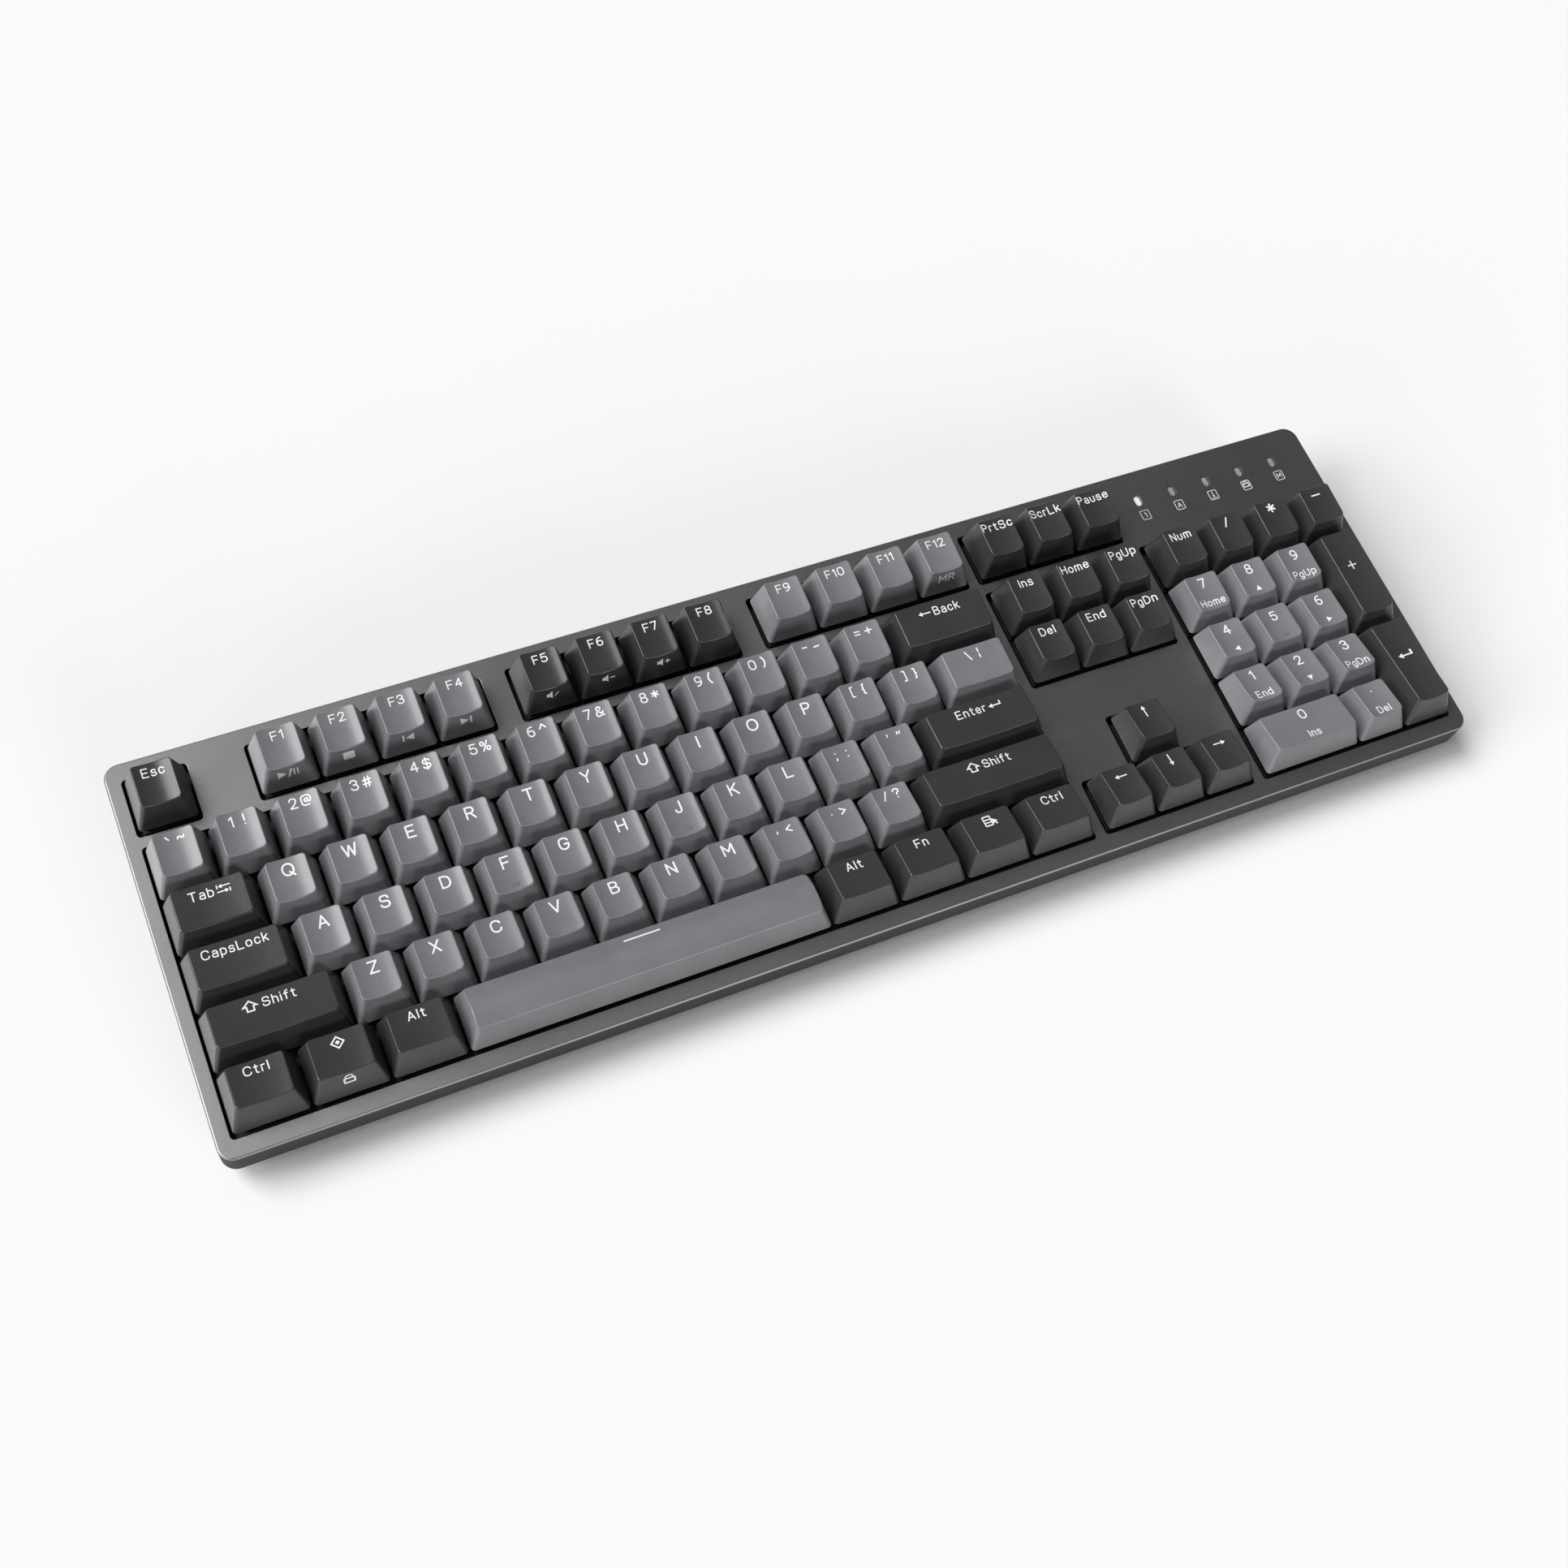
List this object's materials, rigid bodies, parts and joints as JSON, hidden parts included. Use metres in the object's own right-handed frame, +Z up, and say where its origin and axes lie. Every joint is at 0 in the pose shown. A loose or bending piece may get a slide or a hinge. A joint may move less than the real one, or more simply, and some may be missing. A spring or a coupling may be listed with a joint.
{
  "type": "mechanical keyboard",
  "caption": "Full-size mechanical keyboard with a metal top cover, sprung keys with sculpted caps, indicator slots and folding feet.",
  "frame": {"origin": "middle of the footprint, on the surface that the keyboard stands on", "axes": "+X to the right along the keyboard, +Y to the back, +Z up"},
  "size_m": [0.4392, 0.1326, 0.0397],
  "materials": {
    "cover_metal": "bead-blasted, grey anodised",
    "case_plastic": "fine matte grain",
    "plate_steel": "plain",
    "board": "solder mask",
    "switch_plastic": "smooth",
    "spring_metal": "bright wire",
    "lens": "clear white",
    "led": "clear",
    "chip": "moulded",
    "screw_steel": "plated",
    "rubber": "matte",
    "cap_light": "satin",
    "cap_dark": "satin"
  },
  "bodies": {
    "case": {"top_cover": "cover_metal", "bottom_case": "case_plastic", "switch_plate": "plate_steel", "circuit_board": "board", "switch_lower_housings": "switch_plastic", "switch_upper_housings": "switch_plastic", "switch_springs": "spring_metal", "switch_contacts": "spring_metal", "stabilizer_housings": "switch_plastic", "indicator_lenses": "lens", "indicator_leds": "led", "controller_chip": "chip", "usb_port": "plate_steel", "case_screws": "screw_steel", "plate_screws": "screw_steel", "rubber_pads": "rubber"},
    "foot_left": {"flip_foot_left": "case_plastic", "foot_tip_left": "rubber"},
    "foot_right": {"flip_foot_right": "case_plastic", "foot_tip_right": "rubber"},
    "key_backspace": {"key_backspace": "cap_dark"},
    "key_enter": {"key_enter": "cap_dark"},
    "key_shift_left": {"key_shift_left": "cap_dark"},
    "key_shift_right": {"key_shift_right": "cap_dark"},
    "key_space": {"key_space": "cap_light"},
    "key_pad_plus": {"key_pad_plus": "cap_dark"},
    "key_pad_enter": {"key_pad_enter": "cap_dark"},
    "key_pad_zero": {"key_pad_zero": "cap_light"},
    "key_escape": {"key_escape": "cap_dark"},
    "key_tab": {"key_tab": "cap_dark"},
    "key_caps_lock": {"key_caps_lock": "cap_dark"},
    "key_ctrl_left": {"key_ctrl_left": "cap_dark"},
    "key_system": {"key_system": "cap_dark"},
    "key_alt_left": {"key_alt_left": "cap_dark"},
    "key_alt_right": {"key_alt_right": "cap_dark"},
    "key_fn": {"key_fn": "cap_dark"},
    "key_menu": {"key_menu": "cap_dark"},
    "key_ctrl_right": {"key_ctrl_right": "cap_dark"},
    "key_arrow_up": {"key_arrow_up": "cap_dark"},
    "key_arrow_left": {"key_arrow_left": "cap_dark"},
    "key_arrow_down": {"key_arrow_down": "cap_dark"},
    "key_arrow_right": {"key_arrow_right": "cap_dark"},
    "keys_f1_to_f4": {"keys_f1_to_f4": "cap_light"},
    "keys_f5_to_f8": {"keys_f5_to_f8": "cap_dark"},
    "keys_f9_to_f12": {"keys_f9_to_f12": "cap_light"},
    "keys_print_trio": {"keys_print_trio": "cap_dark"},
    "keys_numbers": {"keys_numbers": "cap_light"},
    "keys_letters_top": {"keys_letters_top": "cap_light"},
    "keys_letters_home": {"keys_letters_home": "cap_light"},
    "keys_letters_low": {"keys_letters_low": "cap_light"},
    "keys_edit_six": {"keys_edit_six": "cap_dark"},
    "keys_pad_singles": {"keys_pad_singles": "cap_light"},
    "wire_backspace": {"wire_backspace": "screw_steel"},
    "wire_enter": {"wire_enter": "screw_steel"},
    "wire_shift_left": {"wire_shift_left": "screw_steel"},
    "wire_shift_right": {"wire_shift_right": "screw_steel"},
    "wire_space": {"wire_space": "screw_steel"},
    "wire_pad_plus": {"wire_pad_plus": "screw_steel"},
    "wire_pad_enter": {"wire_pad_enter": "screw_steel"},
    "wire_pad_zero": {"wire_pad_zero": "screw_steel"}
  },
  "joints": [
    {"name": "foot_left_fold", "type": "hinge", "parent": "case", "child": "foot_left", "pos_m": [-0.15, 0.054, 0.004], "axis": [1, 0, 0], "range_deg": [0, 90]},
    {"name": "foot_right_fold", "type": "hinge", "parent": "case", "child": "foot_right", "pos_m": [0.15, 0.054, 0.004], "axis": [1, 0, 0], "range_deg": [0, 90]},
    {"name": "press_backspace", "type": "slide", "parent": "case", "child": "key_backspace", "axis": [0, 0.0785, -0.9969], "range_m": [0, 0.004], "stiffness_N_per_m": 80, "springref_m": -0.0055},
    {"name": "press_enter", "type": "slide", "parent": "case", "child": "key_enter", "axis": [0, 0.0785, -0.9969], "range_m": [0, 0.004], "stiffness_N_per_m": 80, "springref_m": -0.0055},
    {"name": "press_shift_left", "type": "slide", "parent": "case", "child": "key_shift_left", "axis": [0, 0.0785, -0.9969], "range_m": [0, 0.004], "stiffness_N_per_m": 80, "springref_m": -0.0055},
    {"name": "press_shift_right", "type": "slide", "parent": "case", "child": "key_shift_right", "axis": [0, 0.0785, -0.9969], "range_m": [0, 0.004], "stiffness_N_per_m": 80, "springref_m": -0.0055},
    {"name": "press_space", "type": "slide", "parent": "case", "child": "key_space", "axis": [0, 0.0785, -0.9969], "range_m": [0, 0.004], "stiffness_N_per_m": 80, "springref_m": -0.0055},
    {"name": "press_pad_plus", "type": "slide", "parent": "case", "child": "key_pad_plus", "axis": [0, 0.0785, -0.9969], "range_m": [0, 0.004], "stiffness_N_per_m": 80, "springref_m": -0.0055},
    {"name": "press_pad_enter", "type": "slide", "parent": "case", "child": "key_pad_enter", "axis": [0, 0.0785, -0.9969], "range_m": [0, 0.004], "stiffness_N_per_m": 80, "springref_m": -0.0055},
    {"name": "press_pad_zero", "type": "slide", "parent": "case", "child": "key_pad_zero", "axis": [0, 0.0785, -0.9969], "range_m": [0, 0.004], "stiffness_N_per_m": 80, "springref_m": -0.0055},
    {"name": "press_escape", "type": "slide", "parent": "case", "child": "key_escape", "axis": [0, 0.0785, -0.9969], "range_m": [0, 0.004], "stiffness_N_per_m": 80, "springref_m": -0.0055},
    {"name": "press_tab", "type": "slide", "parent": "case", "child": "key_tab", "axis": [0, 0.0785, -0.9969], "range_m": [0, 0.004], "stiffness_N_per_m": 80, "springref_m": -0.0055},
    {"name": "press_caps_lock", "type": "slide", "parent": "case", "child": "key_caps_lock", "axis": [0, 0.0785, -0.9969], "range_m": [0, 0.004], "stiffness_N_per_m": 80, "springref_m": -0.0055},
    {"name": "press_ctrl_left", "type": "slide", "parent": "case", "child": "key_ctrl_left", "axis": [0, 0.0785, -0.9969], "range_m": [0, 0.004], "stiffness_N_per_m": 80, "springref_m": -0.0055},
    {"name": "press_system", "type": "slide", "parent": "case", "child": "key_system", "axis": [0, 0.0785, -0.9969], "range_m": [0, 0.004], "stiffness_N_per_m": 80, "springref_m": -0.0055},
    {"name": "press_alt_left", "type": "slide", "parent": "case", "child": "key_alt_left", "axis": [0, 0.0785, -0.9969], "range_m": [0, 0.004], "stiffness_N_per_m": 80, "springref_m": -0.0055},
    {"name": "press_alt_right", "type": "slide", "parent": "case", "child": "key_alt_right", "axis": [0, 0.0785, -0.9969], "range_m": [0, 0.004], "stiffness_N_per_m": 80, "springref_m": -0.0055},
    {"name": "press_fn", "type": "slide", "parent": "case", "child": "key_fn", "axis": [0, 0.0785, -0.9969], "range_m": [0, 0.004], "stiffness_N_per_m": 80, "springref_m": -0.0055},
    {"name": "press_menu", "type": "slide", "parent": "case", "child": "key_menu", "axis": [0, 0.0785, -0.9969], "range_m": [0, 0.004], "stiffness_N_per_m": 80, "springref_m": -0.0055},
    {"name": "press_ctrl_right", "type": "slide", "parent": "case", "child": "key_ctrl_right", "axis": [0, 0.0785, -0.9969], "range_m": [0, 0.004], "stiffness_N_per_m": 80, "springref_m": -0.0055},
    {"name": "press_arrow_up", "type": "slide", "parent": "case", "child": "key_arrow_up", "axis": [0, 0.0785, -0.9969], "range_m": [0, 0.004], "stiffness_N_per_m": 80, "springref_m": -0.0055},
    {"name": "press_arrow_left", "type": "slide", "parent": "case", "child": "key_arrow_left", "axis": [0, 0.0785, -0.9969], "range_m": [0, 0.004], "stiffness_N_per_m": 80, "springref_m": -0.0055},
    {"name": "press_arrow_down", "type": "slide", "parent": "case", "child": "key_arrow_down", "axis": [0, 0.0785, -0.9969], "range_m": [0, 0.004], "stiffness_N_per_m": 80, "springref_m": -0.0055},
    {"name": "press_arrow_right", "type": "slide", "parent": "case", "child": "key_arrow_right", "axis": [0, 0.0785, -0.9969], "range_m": [0, 0.004], "stiffness_N_per_m": 80, "springref_m": -0.0055},
    {"name": "press_f1_to_f4", "type": "slide", "parent": "case", "child": "keys_f1_to_f4", "axis": [0, 0.0785, -0.9969], "range_m": [0, 0.004], "stiffness_N_per_m": 320, "springref_m": -0.0055},
    {"name": "press_f5_to_f8", "type": "slide", "parent": "case", "child": "keys_f5_to_f8", "axis": [0, 0.0785, -0.9969], "range_m": [0, 0.004], "stiffness_N_per_m": 320, "springref_m": -0.0055},
    {"name": "press_f9_to_f12", "type": "slide", "parent": "case", "child": "keys_f9_to_f12", "axis": [0, 0.0785, -0.9969], "range_m": [0, 0.004], "stiffness_N_per_m": 320, "springref_m": -0.0055},
    {"name": "press_print_trio", "type": "slide", "parent": "case", "child": "keys_print_trio", "axis": [0, 0.0785, -0.9969], "range_m": [0, 0.004], "stiffness_N_per_m": 240, "springref_m": -0.0055},
    {"name": "press_numbers", "type": "slide", "parent": "case", "child": "keys_numbers", "axis": [0, 0.0785, -0.9969], "range_m": [0, 0.004], "stiffness_N_per_m": 1040, "springref_m": -0.0055},
    {"name": "press_letters_top", "type": "slide", "parent": "case", "child": "keys_letters_top", "axis": [0, 0.0785, -0.9969], "range_m": [0, 0.004], "stiffness_N_per_m": 1040, "springref_m": -0.0055},
    {"name": "press_letters_home", "type": "slide", "parent": "case", "child": "keys_letters_home", "axis": [0, 0.0785, -0.9969], "range_m": [0, 0.004], "stiffness_N_per_m": 880, "springref_m": -0.0055},
    {"name": "press_letters_low", "type": "slide", "parent": "case", "child": "keys_letters_low", "axis": [0, 0.0785, -0.9969], "range_m": [0, 0.004], "stiffness_N_per_m": 800, "springref_m": -0.0055},
    {"name": "press_edit_six", "type": "slide", "parent": "case", "child": "keys_edit_six", "axis": [0, 0.0785, -0.9969], "range_m": [0, 0.004], "stiffness_N_per_m": 480, "springref_m": -0.0055},
    {"name": "press_pad_singles", "type": "slide", "parent": "case", "child": "keys_pad_singles", "axis": [0, 0.0785, -0.9969], "range_m": [0, 0.004], "stiffness_N_per_m": 1120, "springref_m": -0.0055},
    {"name": "tilt_wire_backspace", "type": "hinge", "parent": "case", "child": "wire_backspace", "pos_m": [0.05239, 0.03519, 0.02188], "axis": [1, 0, 0], "range_deg": [0, 27]},
    {"name": "tilt_wire_enter", "type": "hinge", "parent": "case", "child": "wire_enter", "pos_m": [0.05001, -0.00279, 0.01889], "axis": [1, 0, 0], "range_deg": [0, 27]},
    {"name": "tilt_wire_shift_left", "type": "hinge", "parent": "case", "child": "wire_shift_left", "pos_m": [-0.19288, -0.02178, 0.01739], "axis": [1, 0, 0], "range_deg": [0, 27]},
    {"name": "tilt_wire_shift_right", "type": "hinge", "parent": "case", "child": "wire_shift_right", "pos_m": [0.04524, -0.02178, 0.01739], "axis": [1, 0, 0], "range_deg": [0, 27]},
    {"name": "tilt_wire_space", "type": "hinge", "parent": "case", "child": "wire_space", "pos_m": [-0.08334, -0.04077, 0.0159], "axis": [1, 0, 0], "range_deg": [0, 27]},
    {"name": "tilt_wire_pad_plus", "type": "hinge", "parent": "case", "child": "wire_pad_plus", "pos_m": [0.19529, -0.00276, 0.01889], "axis": [0, 0.9969, 0.0785], "range_deg": [0, 27]},
    {"name": "tilt_wire_pad_enter", "type": "hinge", "parent": "case", "child": "wire_pad_enter", "pos_m": [0.19529, -0.04075, 0.0159], "axis": [0, 0.9969, 0.0785], "range_deg": [0, 27]},
    {"name": "tilt_wire_pad_zero", "type": "hinge", "parent": "case", "child": "wire_pad_zero", "pos_m": [0.15716, -0.04077, 0.0159], "axis": [1, 0, 0], "range_deg": [0, 27]}
  ],
  "couplings": [
    {"joint": "tilt_wire_backspace", "follows": "press_backspace", "rad_per_m": 113.45},
    {"joint": "tilt_wire_enter", "follows": "press_enter", "rad_per_m": 113.45},
    {"joint": "tilt_wire_shift_left", "follows": "press_shift_left", "rad_per_m": 113.45},
    {"joint": "tilt_wire_shift_right", "follows": "press_shift_right", "rad_per_m": 113.45},
    {"joint": "tilt_wire_space", "follows": "press_space", "rad_per_m": 113.45},
    {"joint": "tilt_wire_pad_plus", "follows": "press_pad_plus", "rad_per_m": 113.45},
    {"joint": "tilt_wire_pad_enter", "follows": "press_pad_enter", "rad_per_m": 113.45},
    {"joint": "tilt_wire_pad_zero", "follows": "press_pad_zero", "rad_per_m": 113.45}
  ]
}
